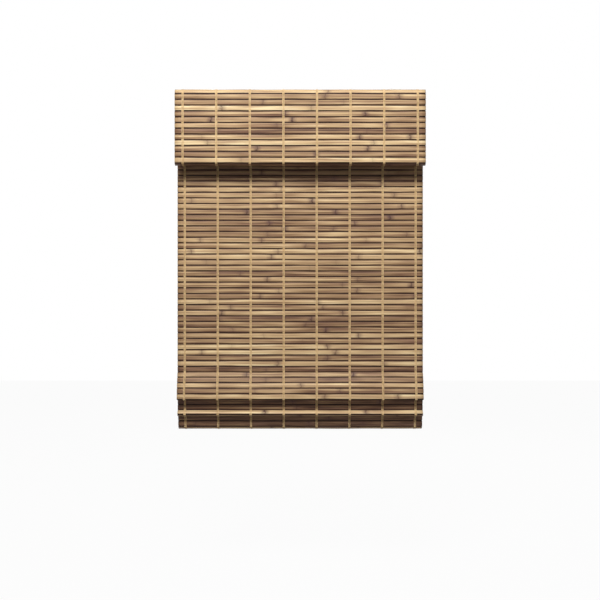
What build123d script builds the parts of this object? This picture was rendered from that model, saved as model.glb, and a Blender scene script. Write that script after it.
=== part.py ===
"""Bamboo roman shade with a valance, half lowered, two gathered folds at its foot.

Millimetres. +X runs along the headrail, -Y faces the room, +Z is up.
The origin is the centre of the four screw holes in the two mounting brackets,
on the faces that go against the window head.
"""
import os
from math import cos, pi, radians, sin, tan

from build123d import *

# The mat: flat bamboo slats with a thin dark reed in every gap
shade_width = 581.0
slat_width = 11.3
slat_thickness = 2.0
slat_gap = 2.0
slat_edge_break = 0.4
reed_thickness = 0.8
reed_seat = 0.5
reed_clearance = 0.15

# The mat hangs flat down to its lowest gathered ring line, then loops forward
head_slats = 15
fold_slats = 4
fold_count = 4
ring_bend_gap = 3.8
mat_head_clearance = 0.7
front_loop_headings = (26, 22, 16, 9, 4, -88, -176, -180)
back_loop_headings = (-4, -4, -2, 0, 46, -72, -184, -186)
hem_headings = (-7, -8, -6, -4, -60, -178, -180, -180)
leg_slats = 5
hem_face_slats = 4

# Warp threads: a chain stitched pair on the face of the mat, a locking strand on its back
thread_lines = 8
thread_spacing = 78.1
pair_width = 5.2
strand_width = 1.6
strand_thickness = 0.5
strand_meeting = 0.95

# The valance
valance_width = 584.2
valance_slats = 13
valance_gap = 2.15
valance_top = -1.3
valance_lean = 35
valance_hem_heading = -72

# The headrail and its brackets
headrail_depth = 54.0
headrail_height = 36.4
headrail_wall = 1.2
headrail_lip = 6.0
end_cap_plate = 1.5
end_cap_plug = 6.0
end_cap_wall = 2.0
fit_clearance = 0.2
bracket_plate = 1.6
bracket_width = 30.0
bracket_front_drop = 13.5
bracket_back_drop = 30.0
mount_spacing_x = 440.0
mount_spacing_y = 30.0
mount_hole_radius = 2.5
driver_hole_radius = 5.5

# Battens and hook tapes that carry the valance and the mat
valance_batten_thickness = 7.0
valance_batten_height = 22.0
valance_batten_drop = 14.5
mat_batten_thickness = 8.0
mat_batten_height = 14.0
batten_inset = 5.0
tape_thickness = 1.5
tape_margin = 1.2
taped_slats = 3
mat_line = 9.0
batten_screw_reach = 170.0

# Small screws
screw_radius = 1.6
screw_head_radius = 3.2
screw_head_height = 1.8
screw_bite = 5.0
screw_clearance = 0.15

# Lift cords, rings and the orbs that tie the cords off
cord_radius = 0.7
cord_line = 2.5
ring_radius = 5.0
ring_wire = 1.6
ring_seat = 0.2
ring_sides = 18
orb_radius = 3.6
orb_height = 10.0

# Lift shaft, cord spools and their cradles
shaft_side = 5.0
shaft_length = 438.0
shaft_clearance = 0.12
spool_radius = 8.0
spool_flange_radius = 12.4
spool_flange = 1.5
spool_length = 22.0
journal_radius = 5.0
journal_length = 4.6
bearing_clearance = 0.15
cradle_wall = 2.6
cradle_floor = 2.0
cradle_length = 44.0
cradle_collar = 4.0
cradle_cord_hole = 2.2
side_play = 0.3

# Spring motor: two geared drums in a housing of two shells
motor_length = 70.0
motor_wall = 2.0
motor_end_wall = 4.0
motor_top_clearance = 1.6
drum_centres = 18.6
drum_gear_teeth = 18
drum_gear_width = 8.0
gear_addendum = 0.75
gear_dedendum = 1.15
gear_backlash = 0.22
output_drum_radius = 6.2
storage_drum_radius = 5.0
storage_journal_radius = 3.5
spring_radius = 9.2
spring_width = 34.0
drum_end_play = 0.4

# Weight bar in the hem
hem_bar_thickness = 6.0
hem_bar_height = 24.0
hem_bar_inset = 4.0
hem_bar_seat = 0.4

# Places worked out from the sizes above
slat_pitch = slat_width + slat_gap
headrail_top = -bracket_plate
headrail_bottom = headrail_top - headrail_height
headrail_front = -headrail_depth / 2
headrail_length = shade_width - 2 * end_cap_plate
headrail_inner = headrail_depth / 2 - headrail_wall
batten_length = headrail_length - 2 * batten_inset
lip_top = headrail_bottom + headrail_wall

mat_front = mat_line - slat_thickness / 2
mat_back = mat_line + slat_thickness / 2
mat_top = headrail_bottom - mat_head_clearance
head_line = mat_top - head_slats * slat_pitch + slat_gap / 2
fold_height = fold_slats * slat_pitch
ring_pitch = 2 * fold_height
stack_line = head_line - fold_count * ring_pitch

cord_x = cord_line * thread_spacing
cord_y = mat_back + strand_thickness + ring_seat + ring_radius
shaft_y = cord_y - cord_radius - spool_radius
shaft_z = (headrail_top - headrail_wall + lip_top) / 2
storage_y = shaft_y - drum_centres

valance_line = headrail_front - valance_batten_thickness - tape_thickness - slat_thickness / 2


def heading_step(heading, length):
    """Move along a mat: heading 0 is straight down, 90 towards the room, -90 towards the window."""
    return Vector(-sin(radians(heading)), -cos(radians(heading))) * length


def lay_slats(start, headings, gap, bend_gap=None, bends=()):
    """Centre lines of slats laid end to end from a start in the YZ plane."""
    lines = []
    here = start
    for number, heading in enumerate(headings):
        if number:
            step = bend_gap if number in bends else gap
            here = here + heading_step((headings[number - 1] + heading) / 2, step)
        end = here + heading_step(heading, slat_width)
        lines.append((here, end, heading))
        here = end
    return lines


def slat_section(start, end, heading):
    """One slat's section: a flat strip with its four edges broken."""
    half = slat_thickness / 2
    reach = slat_width / 2
    flat = reach - slat_edge_break
    corner = half - slat_edge_break
    outline = [(half, -flat), (half, flat), (corner, reach), (-corner, reach)]
    outline += [(-y, -z) for y, z in outline]
    middle = (start + end) * 0.5
    return Pos(middle.X, middle.Y) * Rot(0, 0, -heading) * Polygon(*outline, align=None)


def reed_section(end, start):
    """The reed between two slats, seated a little way into both."""
    across = start - end
    middle = (start + end) * 0.5
    length = across.length + 2 * reed_seat
    turn = Vector(0, -1).get_signed_angle(across, Vector(0, 0, 1))
    return Pos(middle.X, middle.Y) * Rot(0, 0, turn) * Rectangle(reed_thickness, length)


def mat_wall(lines, width, folds_above=False):
    """A length of mat as one wall, its slats joined by the reeds in the gaps.

    Where it folds against the mat above, it also carries the reed of that gap.
    """
    sections = [slat_section(*line) for line in lines]
    sections += [reed_section(a[1], b[0]) for a, b in zip(lines, lines[1:])]
    if folds_above:
        first, _, heading = lines[0]
        fold_line = first - heading_step(heading, slat_gap / 2)
        reach = slat_gap / 2 - reed_clearance - reed_seat
        sections.append(reed_section(fold_line + Vector(0, reach), first))
    return extrude(Plane.YZ * (Sketch() + sections), amount=width / 2, both=True)


def face_ribbon(lines, side):
    """The path of a strand over a run of slats, on the room side (-1) or the window side (1)."""
    near, far = [], []
    for start, end, heading in lines:
        out = heading_step(heading - 90, 1) * side
        for point in (start, end):
            near.append(point + out * (slat_thickness / 2))
            far.append(point + out * (slat_thickness / 2 + strand_thickness))
    outline = [(p.X, p.Y) for p in near + far[::-1]]
    return Plane.YZ * Polygon(*outline, align=None)


def straight_run(lines, above=0, below=0):
    """A flat mat's first and last slat as one line, so that its strands are plain strips."""
    return [(lines[0][0] + Vector(0, above), lines[-1][1] - Vector(0, below), lines[0][2])]


def thread_xs():
    """Where the warp threads cross the mat."""
    first = -(thread_lines - 1) / 2 * thread_spacing
    return [first + n * thread_spacing for n in range(thread_lines)]


def warp_threads(face_runs, back_runs):
    """A stitched pair on the face, as one band, and a single strand on the back, at every line."""
    threads = [extrude(face_ribbon(run, -1), amount=pair_width / 2, both=True) for run in face_runs]
    threads += [extrude(face_ribbon(run, 1), amount=strand_width / 2, both=True) for run in back_runs]
    return Compound(children=[Pos(x) * thread for x in thread_xs() for thread in threads])


def flat_lines(top, count):
    """Slats of a flat stretch of mat that hangs from a height."""
    return lay_slats(Vector(mat_line, top), [0] * count, slat_gap)


def block(x0, x1, y0, y1, z0, z1):
    """A box between two corners."""
    return Pos((x0 + x1) / 2, (y0 + y1) / 2, (z0 + z1) / 2) * Box(x1 - x0, y1 - y0, z1 - z0)


def rod(x0, x1, y, z, radius):
    """A round bar along X."""
    return Pos((x0 + x1) / 2, y, z) * Rot(0, 90, 0) * Cylinder(radius, x1 - x0)


def post(x, y, z0, z1, radius):
    """A round bar along Z."""
    return Pos(x, y, (z0 + z1) / 2) * Cylinder(radius, z1 - z0)


def screw(place, length):
    """A pan head screw. Its head's seat is at the place and its shank runs along the place's -Z."""
    shank = Pos(0, 0, -length / 2) * Cylinder(screw_radius, length)
    head = Pos(0, 0, screw_head_height / 2) * Cylinder(screw_head_radius, screw_head_height)
    return place * (shank + head)


def screw_hole(place, length):
    """The hole that a screw's shank passes through."""
    return place * Pos(0, 0, -length / 2) * Cylinder(screw_radius + screw_clearance, length)


# Screws face the room from inside the headrail, face up through the mat's batten,
# and face into the headrail's back wall through the brackets
valance_screw_places = [
    Pos(side * reach, headrail_front + headrail_wall, -valance_batten_drop - valance_batten_height / 2)
    * Rot(-90, 0, 0)
    for side in (-1, 1)
    for reach in (batten_screw_reach / 2, batten_screw_reach * 1.45)
]
mat_screw_places = [
    Pos(side * cord_x, mat_front - tape_thickness - mat_batten_thickness / 2, headrail_bottom - mat_batten_height)
    * Rot(180, 0, 0)
    for side in (-1, 1)
]
bracket_screw_places = [
    Pos(side * mount_spacing_x / 2, headrail_depth / 2 + bracket_plate, -bracket_back_drop * 0.7) * Rot(-90, 0, 0)
    for side in (-1, 1)
]
valance_screw_length = headrail_wall + screw_bite
mat_screw_length = mat_batten_height + headrail_wall + cradle_floor * 0.7
bracket_screw_length = bracket_plate + headrail_wall


def headrail_channel():
    """Folded steel C-section, open below, with holes for screws and a screwdriver."""
    outer = Rectangle(headrail_depth, headrail_height)
    inner = Rectangle(2 * headrail_inner, headrail_height - 2 * headrail_wall)
    mouth = Pos(0, -headrail_height / 2) * Rectangle(2 * (headrail_inner - headrail_lip), 3 * headrail_wall)
    section = Pos(0, (headrail_top + headrail_bottom) / 2) * (outer - inner - mouth)
    channel = extrude(Plane.YZ * section, amount=headrail_length / 2, both=True)
    for x in (-mount_spacing_x / 2, mount_spacing_x / 2):
        for y in (-mount_spacing_y / 2, mount_spacing_y / 2):
            channel -= post(x, y, headrail_top - 2 * headrail_wall, headrail_top + 1, driver_hole_radius)
    for place in valance_screw_places:
        channel -= screw_hole(place, valance_screw_length)
    for place in bracket_screw_places:
        channel -= screw_hole(place, bracket_screw_length + 1)
    return channel


def end_cap(side):
    """Moulded cap with a hollow plug that fits inside the channel."""
    plate = block(0, end_cap_plate, -headrail_depth / 2, headrail_depth / 2, headrail_bottom, headrail_top)
    reach = headrail_inner - fit_clearance
    low = lip_top + fit_clearance
    high = headrail_top - headrail_wall - fit_clearance
    plug = block(-end_cap_plug, 0, -reach, reach, low, high)
    hollow = block(
        -end_cap_plug - 1, 0, -reach + end_cap_wall, reach - end_cap_wall, low + end_cap_wall, high - end_cap_wall
    )
    cap = Pos(headrail_length / 2, 0, 0) * (plate + (plug - hollow))
    return cap if side > 0 else mirror(cap, Plane.YZ)


def mounting_bracket(side):
    """Folded steel saddle over the headrail, with two screw holes to the window head."""
    x0 = side * mount_spacing_x / 2 - bracket_width / 2
    x1 = x0 + bracket_width
    half = headrail_depth / 2
    saddle = block(x0, x1, -half - bracket_plate, half + bracket_plate, -bracket_plate, 0)
    saddle += block(x0, x1, -half - bracket_plate, -half, -bracket_front_drop, 0)
    saddle += block(x0, x1, half, half + bracket_plate, -bracket_back_drop, 0)
    lower_edges = saddle.edges().filter_by(Axis.Y).filter_by(lambda e: e.center().Z < -bracket_plate - 1)
    saddle = fillet(lower_edges, 3.0)
    for y in (-mount_spacing_y / 2, mount_spacing_y / 2):
        saddle -= post(side * mount_spacing_x / 2, y, -bracket_plate - 1, 1, mount_hole_radius)
    for place in bracket_screw_places:
        saddle -= screw_hole(place, bracket_plate)
    return saddle


def valance_batten():
    """Pine batten on the headrail's front, which carries the valance."""
    back = headrail_front
    batten = block(
        -batten_length / 2,
        batten_length / 2,
        back - valance_batten_thickness,
        back,
        -valance_batten_drop - valance_batten_height,
        -valance_batten_drop,
    )
    for place in valance_screw_places:
        batten -= screw_hole(place, valance_screw_length)
    return batten


def valance_tape():
    """Hook and loop tape between the batten and the valance."""
    back = headrail_front - valance_batten_thickness
    low = -valance_batten_drop - valance_batten_height + tape_margin
    return block(-batten_length / 2, batten_length / 2, back - tape_thickness, back, low, -valance_batten_drop - tape_margin)


def mat_batten():
    """Pine batten under the headrail's mouth, which carries the mat."""
    back = mat_front - tape_thickness
    batten = block(
        -batten_length / 2,
        batten_length / 2,
        back - mat_batten_thickness,
        back,
        headrail_bottom - mat_batten_height,
        headrail_bottom,
    )
    for place in mat_screw_places:
        batten -= screw_hole(place, mat_screw_length)
    return batten


def mat_tape():
    """Hook and loop tape between the batten and the first slat of the mat."""
    back = mat_front
    low = headrail_bottom - mat_batten_height + tape_margin
    return block(-batten_length / 2, batten_length / 2, back - tape_thickness, back, low, headrail_bottom - tape_margin)


def valance_lines():
    """The top slat leans back over the headrail, the last one turns under as a hem."""
    headings = [valance_lean] + [0] * (valance_slats - 1) + [valance_hem_heading]
    back = slat_width * sin(radians(valance_lean)) + valance_gap * sin(radians(valance_lean / 2))
    rise = slat_thickness / 2 * sin(radians(valance_lean))
    return lay_slats(Vector(valance_line + back, valance_top - rise), headings, valance_gap)


def stack_lines():
    """The two gathered loops and the hem, from the lowest flat ring line down."""
    headings = front_loop_headings + back_loop_headings + hem_headings
    start = Vector(mat_line, stack_line) + heading_step(headings[0], slat_gap / 2)
    second_ring = len(front_loop_headings)
    third_ring = second_ring + len(back_loop_headings)
    return lay_slats(start, headings, slat_gap, ring_bend_gap, (second_ring, third_ring))


def stack_ring_centres():
    """Centres of the rings on the three ring lines of the gathered folds, in the YZ plane."""
    lines = stack_lines()
    second = lines[len(front_loop_headings)][0]
    third = lines[len(front_loop_headings) + len(back_loop_headings)][0]
    behind = Vector(slat_thickness / 2 + ring_seat + ring_radius, 0)
    return [Vector(cord_y, stack_line), second + behind, third + behind]


def stack_thread_runs():
    """The runs of slats whose face the room side sees."""
    lines = stack_lines()
    second_ring = len(front_loop_headings)
    third_ring = second_ring + len(back_loop_headings)
    return [
        lines[:leg_slats],
        lines[second_ring + 1 : second_ring + leg_slats],
        lines[third_ring + 1 : third_ring + hem_face_slats],
    ]


def cord_rings(centres):
    """A pair of moulded rings, one on each lift cord, at each ring line."""
    section = RegularPolygon(ring_radius, ring_sides) - RegularPolygon(ring_radius - ring_wire, ring_sides)
    ring = extrude(section, amount=ring_wire / 2, both=True)
    rings = [Pos(side * cord_x, c.X, c.Y) * ring for c in centres for side in (-1, 1)]
    return Compound(children=rings)


def lift_cord(side):
    """Braided cord, pulled tight from its spool down to the first gathered ring line."""
    return post(side * cord_x, cord_y, stack_line, shaft_z, cord_radius)


def cord_tail(side):
    """The cord's end through the gathered rings, down to its orb."""
    first, second, third = stack_ring_centres()
    end = third - Vector(0, ring_wire)
    points = [(side * cord_x, p.X, p.Y) for p in (first, second, third, end)]
    path = FilletPolyline(*points, radius=ring_wire / 2)
    section = Plane(origin=points[0], z_dir=path % 0) * Circle(cord_radius)
    return sweep(section, path=path)


def cord_orbs():
    """Orbs under the lowest rings, where the cords are tied off and set to length."""
    ring = stack_ring_centres()[2]
    orb = post(0, 0, -orb_height, 0, orb_radius)
    orb = chamfer(orb.edges().filter_by(GeomType.CIRCLE), orb_radius * 0.4)
    top = ring.Y - ring_wire
    return Compound(children=[Pos(side * cord_x, ring.X, top) * orb for side in (-1, 1)])


def hem_bar():
    """Wooden bar in the hem pocket, which keeps the foot of the shade straight."""
    lines = stack_lines()[-len(hem_headings) :]
    floor = lines[hem_face_slats][0].Y + slat_thickness / 2
    back = lines[-1][0].X - slat_thickness / 2 - hem_bar_seat
    reach = shade_width / 2 - hem_bar_inset
    bar = block(-reach, reach, back - hem_bar_thickness, back, floor, floor + hem_bar_height)
    return fillet(bar.edges().filter_by(Axis.X), 1.0)


def lift_shaft():
    """Square steel shaft through the motor and both spools."""
    return Pos(0, shaft_y, shaft_z) * Box(shaft_length, shaft_side, shaft_side)


def square_bore(length):
    """The hole that the square shaft passes through, with its running clearance."""
    side = shaft_side + 2 * shaft_clearance
    return Box(length, side, side)


def cord_spool(side):
    """Flanged spool that winds one lift cord, with a journal at each end."""
    half = spool_length / 2
    spool = rod(-half, half, 0, 0, spool_radius)
    for x0 in (-half - spool_flange, half):
        spool += rod(x0, x0 + spool_flange, 0, 0, spool_flange_radius)
    reach = half + spool_flange + journal_length
    spool += rod(-reach, reach, 0, 0, journal_radius)
    spool -= square_bore(3 * reach)
    return Pos(side * cord_x, shaft_y, shaft_z) * spool


def spool_cradle(side):
    """Moulded cradle that rests on the channel's lips and holds a spool between two bearings."""
    reach = headrail_inner - fit_clearance
    floor_top = lip_top + cradle_floor
    cradle = block(-cradle_length / 2, cradle_length / 2, -reach, reach, lip_top, floor_top)
    foot_back = mat_front - tape_thickness
    cradle += block(
        -cradle_length / 2, cradle_length / 2, foot_back - mat_batten_thickness, foot_back, headrail_bottom, lip_top
    )
    inner = spool_length / 2 + spool_flange + side_play
    collar = journal_radius + cradle_collar
    for x0 in (-inner - cradle_wall, inner):
        cradle += block(x0, x0 + cradle_wall, shaft_y - collar, shaft_y + collar, lip_top, shaft_z)
        cradle += rod(x0, x0 + cradle_wall, shaft_y, shaft_z, collar)
        cradle -= rod(x0 - 1, x0 + cradle_wall + 1, shaft_y, shaft_z, journal_radius + bearing_clearance)
    cradle -= post(0, cord_y, headrail_bottom - 1, floor_top + 1, cradle_cord_hole)
    placed = Pos(side * cord_x) * cradle
    for place in mat_screw_places:
        placed -= screw_hole(place, mat_screw_length + 0.3)
    return placed


def gear(x0, y, z, phase):
    """A drum's gear: straight flanked teeth with backlash, so that the pair runs freely."""
    pitch_radius = drum_centres / 2
    tooth = pi * pitch_radius / drum_gear_teeth - gear_backlash
    flank = tan(radians(20))
    tip = tooth - 2 * gear_addendum * flank
    root = tooth + 2 * gear_dedendum * flank
    low = pitch_radius - gear_dedendum
    high = pitch_radius + gear_addendum
    outline = [(low - 1, -root / 2), (low, -root / 2), (high, -tip / 2)]
    outline += [(r, -w) for r, w in outline[::-1]]
    blank = Circle(low)
    turn = 360 / drum_gear_teeth
    teeth = [Rot(0, 0, phase + n * turn) * Polygon(*outline, align=None) for n in range(drum_gear_teeth)]
    wheel = extrude(Plane.YZ * (blank + teeth), amount=drum_gear_width)
    return Pos(x0, y, z) * wheel


motor_half = motor_length / 2 - motor_end_wall
gear_start = motor_half - drum_end_play - drum_gear_width


def output_drum():
    """Drum on the lift shaft, geared to the storage drum."""
    drum = rod(-motor_half + drum_end_play, gear_start, shaft_y, shaft_z, output_drum_radius)
    drum += gear(gear_start, shaft_y, shaft_z, 0)
    reach = motor_length / 2 + side_play
    drum += rod(-reach, reach, shaft_y, shaft_z, journal_radius)
    return drum - Pos(0, shaft_y, shaft_z) * square_bore(3 * reach)


def storage_drum():
    """Drum that the flat spring rests on, with a plain journal at each end."""
    drum = rod(-motor_half + drum_end_play, gear_start, storage_y, shaft_z, storage_drum_radius)
    drum += gear(gear_start, storage_y, shaft_z, 180 / drum_gear_teeth)
    reach = motor_length / 2 - 0.5
    return drum + rod(-reach, reach, storage_y, shaft_z, storage_journal_radius)


def flat_spring():
    """Roll of pre-stressed steel strip, wound on the storage drum."""
    x0 = (gear_start - motor_half + drum_end_play) / 2 - spring_width / 2
    roll = rod(x0, x0 + spring_width, storage_y, shaft_z, spring_radius)
    return roll - rod(x0 - 1, x0 + spring_width + 1, storage_y, shaft_z, storage_drum_radius)


motor_front = storage_y - drum_centres / 2 - gear_addendum - motor_wall - side_play
motor_back = shaft_y + drum_centres / 2 + gear_addendum + motor_wall + side_play
motor_screw_y = (shaft_y + storage_y - journal_radius + storage_journal_radius) / 2
motor_lid_top = headrail_top - headrail_wall - motor_top_clearance
motor_screw_places = [
    Pos(side * (motor_length - motor_end_wall) / 2, motor_screw_y, motor_lid_top - screw_head_height)
    for side in (-1, 1)
]
motor_screw_length = motor_lid_top - screw_head_height - shaft_z + screw_bite


def motor_shell(z0, z1, floor_at_bottom):
    """Half of the motor housing: end walls with half bearings, long walls and one floor."""
    half = motor_length / 2
    shell = block(-half, half, motor_front, motor_back, z0, z1)
    hollow_z0 = z0 + motor_wall if floor_at_bottom else z0 - 1
    hollow_z1 = z1 + 1 if floor_at_bottom else z1 - motor_wall
    shell -= block(
        -motor_half, motor_half, motor_front + motor_wall, motor_back - motor_wall, hollow_z0, hollow_z1
    )
    shell -= rod(-half - 1, half + 1, shaft_y, shaft_z, journal_radius + bearing_clearance)
    shell -= rod(-half - 1, half + 1, storage_y, shaft_z, storage_journal_radius + bearing_clearance)
    for place in motor_screw_places:
        shell -= screw_hole(place, motor_screw_length + 0.3)
        shell -= place * Pos(0, 0, 5) * Cylinder(screw_head_radius + screw_clearance, 10)
    return shell


def screws(places, length):
    """Like screws as one group."""
    return Compound(children=[screw(place, length) for place in places])


nodes = {
    "headrail_channel": headrail_channel(),
    "end_cap_left": end_cap(-1),
    "end_cap_right": end_cap(1),
    "mounting_bracket_left": mounting_bracket(-1),
    "mounting_bracket_right": mounting_bracket(1),
    "bracket_screws": screws(bracket_screw_places, bracket_screw_length),
    "valance_batten": valance_batten(),
    "valance_batten_screws": screws(valance_screw_places, valance_screw_length),
    "valance_tape": valance_tape(),
    "valance_mat": mat_wall(valance_lines(), valance_width),
    "mat_batten": mat_batten(),
    "mat_batten_screws": screws(mat_screw_places, mat_screw_length),
    "mat_tape": mat_tape(),
    "motor_tray": motor_shell(lip_top, shaft_z, True),
    "motor_lid": motor_shell(shaft_z, motor_lid_top, False),
    "motor_screws": screws(motor_screw_places, motor_screw_length),
    "output_drum": output_drum(),
    "storage_drum": storage_drum(),
    "flat_spring": flat_spring(),
    "lift_shaft": lift_shaft(),
    "cord_spool_left": cord_spool(-1),
    "cord_spool_right": cord_spool(1),
    "spool_cradle_left": spool_cradle(-1),
    "spool_cradle_right": spool_cradle(1),
    "lift_cord_left": lift_cord(-1),
    "lift_cord_right": lift_cord(1),
    "cord_tail_left": cord_tail(-1),
    "cord_tail_right": cord_tail(1),
    "hem_bar": hem_bar(),
    "cord_orbs": cord_orbs(),
}

# The valance's threads run over its leaning top slat and down its flat face, and behind it below the tape
valance_run = valance_lines()
nodes["valance_threads"] = warp_threads(
    [valance_run[:1] + straight_run(valance_run[1:-1])], [straight_run(valance_run[taped_slats:-1])]
)

# The flat mat: a fixed head behind the valance, then pairs of panels that fold forward
head = flat_lines(mat_top, head_slats)
nodes["mat_head"] = mat_wall(head, shade_width)
nodes["mat_head_threads"] = warp_threads(
    [straight_run(head[1:], 0, strand_meeting)], [straight_run(head, 0, strand_meeting)]
)
nodes["mat_head_rings"] = cord_rings([Vector(cord_y, head_line + ring_pitch), Vector(cord_y, head_line)])
for fold in range(fold_count):
    for half, name in enumerate(("upper", "lower")):
        top = head_line - fold * ring_pitch - half * fold_height - slat_gap / 2
        lines = flat_lines(top, fold_slats)
        nodes[f"mat_fold_{fold + 1}_{name}"] = mat_wall(lines, shade_width, True)
        run = straight_run(lines, strand_meeting, strand_meeting)
        nodes[f"mat_fold_{fold + 1}_{name}_threads"] = warp_threads([run], [run])
    if fold:
        nodes[f"cord_rings_{fold}"] = cord_rings([Vector(cord_y, head_line - fold * ring_pitch)])

# The gathered folds at the foot
nodes["mat_gathered_folds"] = mat_wall(stack_lines(), shade_width, True)
nodes["mat_gathered_threads"] = warp_threads(stack_thread_runs(), [])
nodes["mat_gathered_rings"] = cord_rings(stack_ring_centres())

os.makedirs("parts", exist_ok=True)
for name, shape in nodes.items():
    export_step(shape, f"parts/{name}.step")
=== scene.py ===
import random
from math import cos, pi, radians, sin

import bmesh
import bpy
from mathutils import Matrix, Vector
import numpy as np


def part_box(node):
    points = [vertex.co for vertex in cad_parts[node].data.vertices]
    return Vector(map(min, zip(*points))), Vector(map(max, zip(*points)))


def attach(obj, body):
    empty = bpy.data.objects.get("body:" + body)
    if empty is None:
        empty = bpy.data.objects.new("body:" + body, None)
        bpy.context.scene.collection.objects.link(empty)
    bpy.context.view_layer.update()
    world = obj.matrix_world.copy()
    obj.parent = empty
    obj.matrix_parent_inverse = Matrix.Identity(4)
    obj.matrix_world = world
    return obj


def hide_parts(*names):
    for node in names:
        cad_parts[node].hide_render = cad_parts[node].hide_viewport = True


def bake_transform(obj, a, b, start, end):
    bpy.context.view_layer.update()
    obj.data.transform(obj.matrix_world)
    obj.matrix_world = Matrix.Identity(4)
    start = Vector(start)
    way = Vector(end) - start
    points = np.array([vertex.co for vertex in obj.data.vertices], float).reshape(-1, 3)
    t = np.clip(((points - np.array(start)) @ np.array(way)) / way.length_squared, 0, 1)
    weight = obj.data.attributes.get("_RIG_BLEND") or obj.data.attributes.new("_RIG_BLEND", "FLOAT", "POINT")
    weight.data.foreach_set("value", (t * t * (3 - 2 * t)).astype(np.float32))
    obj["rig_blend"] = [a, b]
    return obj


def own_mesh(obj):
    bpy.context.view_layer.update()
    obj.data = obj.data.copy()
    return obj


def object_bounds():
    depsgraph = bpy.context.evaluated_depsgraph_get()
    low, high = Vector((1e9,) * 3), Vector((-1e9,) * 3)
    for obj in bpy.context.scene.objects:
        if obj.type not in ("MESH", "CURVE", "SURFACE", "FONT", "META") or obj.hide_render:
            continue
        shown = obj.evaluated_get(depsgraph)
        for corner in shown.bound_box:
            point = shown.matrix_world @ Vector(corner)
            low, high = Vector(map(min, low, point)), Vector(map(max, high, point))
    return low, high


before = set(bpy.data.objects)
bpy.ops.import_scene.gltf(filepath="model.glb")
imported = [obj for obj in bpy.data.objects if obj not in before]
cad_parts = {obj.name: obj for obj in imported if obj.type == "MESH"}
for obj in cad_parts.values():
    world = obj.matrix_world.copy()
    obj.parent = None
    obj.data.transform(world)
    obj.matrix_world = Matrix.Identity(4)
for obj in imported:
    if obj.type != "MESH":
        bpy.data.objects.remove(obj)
cad_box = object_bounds()

# The camera stands square to the shade, level with its lower middle and a step back from it.
camera_distance = 2.4
camera_height = -0.4923
camera_data = bpy.data.cameras.new("room_camera")
camera_data.sensor_width = 36
camera_data.lens = 61.96
camera = bpy.data.objects.new("room_camera", camera_data)
camera.location = (-0.0005, -0.0375 - camera_distance, camera_height)
camera.rotation_euler = (radians(90), 0, 0)
bpy.context.scene.collection.objects.link(camera)
bpy.context.scene.camera = camera
bpy.context.scene.view_settings.view_transform = "Standard"

# The slats are split bamboo: flat strips sawn from the wall of a culm, planed and lightly
# stained. No two are alike in tone, their edges wander, and a dark scar crosses each one
# wherever the culm had a joint.
slat_width = 0.0113
slat_thickness = 0.0020
slat_edge_break = 0.0005
slat_stations = 44
slat_edge_wander = 0.00030
sag_share = 0.5
slat_gap = 0.0020
valance_gap = 0.00215
reed_thickness = 0.0009
reed_seat = 0.0006
reed_end_inset = 0.0005
reed_edge_wander = 0.00005
plain_tone = 0.5
shade_width = 0.5810
valance_width = 0.5842
mat_plane = 0.0090


def heading_step(heading, length):
    """A step along a mat in the YZ plane: heading 0 is straight down and 90 is towards the room."""
    return Vector((0, -sin(radians(heading)), -cos(radians(heading)))) * length


def lay_slats(start, headings, gap, bend_gap=None, bends=()):
    """The slats of a mat, laid end to end from a start: (upper edge, lower edge, heading) each."""
    lines = []
    here = start
    for number, heading in enumerate(headings):
        if number:
            step = bend_gap if number in bends else gap
            here = here + heading_step((headings[number - 1] + heading) / 2, step)
        end = here + heading_step(heading, slat_width)
        lines.append((here, end, heading))
        here = end
    return lines


def strip_blank(width, thickness, height, edge_break):
    """A straight strip with broken long edges, with stations along it so that it can wander."""
    blank = bmesh.new()
    bmesh.ops.create_cube(blank, size=1)
    bmesh.ops.scale(blank, vec=(width, thickness, height), verts=blank.verts)
    long_edges = [e for e in blank.edges if abs(e.verts[0].co.x - e.verts[1].co.x) > width / 2]
    bmesh.ops.bevel(
        blank, geom=long_edges, offset=edge_break, affect="EDGES", segments=2, profile=0.5, material=-1
    )
    long_edges = [e for e in blank.edges if abs(e.verts[0].co.x - e.verts[1].co.x) > width / 2]
    bmesh.ops.subdivide_edges(blank, edges=long_edges, cuts=slat_stations - 1, use_grid_fill=True)
    along = blank.loops.layers.uv.new("along_slat")
    for face in blank.faces:
        for loop in face.loops:
            loop[along].uv = (loop.vert.co.x, loop.vert.co.z)
    mesh = bpy.data.meshes.new("strip_blank")
    blank.to_mesh(mesh)
    blank.free()
    return mesh


def wander(chance, amount):
    """A slow random wave along a strip's edge."""
    waves = [(chance.uniform(0.4, 1), chance.uniform(6, 60), chance.uniform(0, 2 * pi)) for _ in range(4)]
    total = sum(w[0] for w in waves)
    return lambda x: amount * sum(a * sin(f * x + p) for a, f, p in waves) / total * 2


def add_strip(mat, blank, middle, heading, chance, amount, tone, kind):
    """Lays one strip of a mat in its place, with a wander of its own along each edge and a slight sag."""
    first, first_face = len(mat.verts), len(mat.faces)
    mat.from_mesh(blank)
    mat.verts.ensure_lookup_table()
    mat.faces.ensure_lookup_table()
    tones = mat.verts.layers.float["strip_tone"]
    seeds = mat.verts.layers.float["strip_seed"]
    place = Matrix.Translation(middle) @ Matrix.Rotation(-radians(heading), 4, "X")
    upper, lower, sag = (wander(chance, amount) for _ in range(3))
    seed = chance.randrange(400)
    half = max(v.co.z for v in mat.verts[first:])
    for vert in mat.verts[first:]:
        x, y, z = vert.co
        share = (z / half + 1) / 2
        moved = Vector((x, y + sag(x) * sag_share, z + upper(x) * share + lower(x) * (1 - share)))
        vert[tones] = tone
        vert[seeds] = seed
        vert.co = place @ moved
    for face in mat.faces[first_face:]:
        face.material_index = kind
        face.smooth = True


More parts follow.
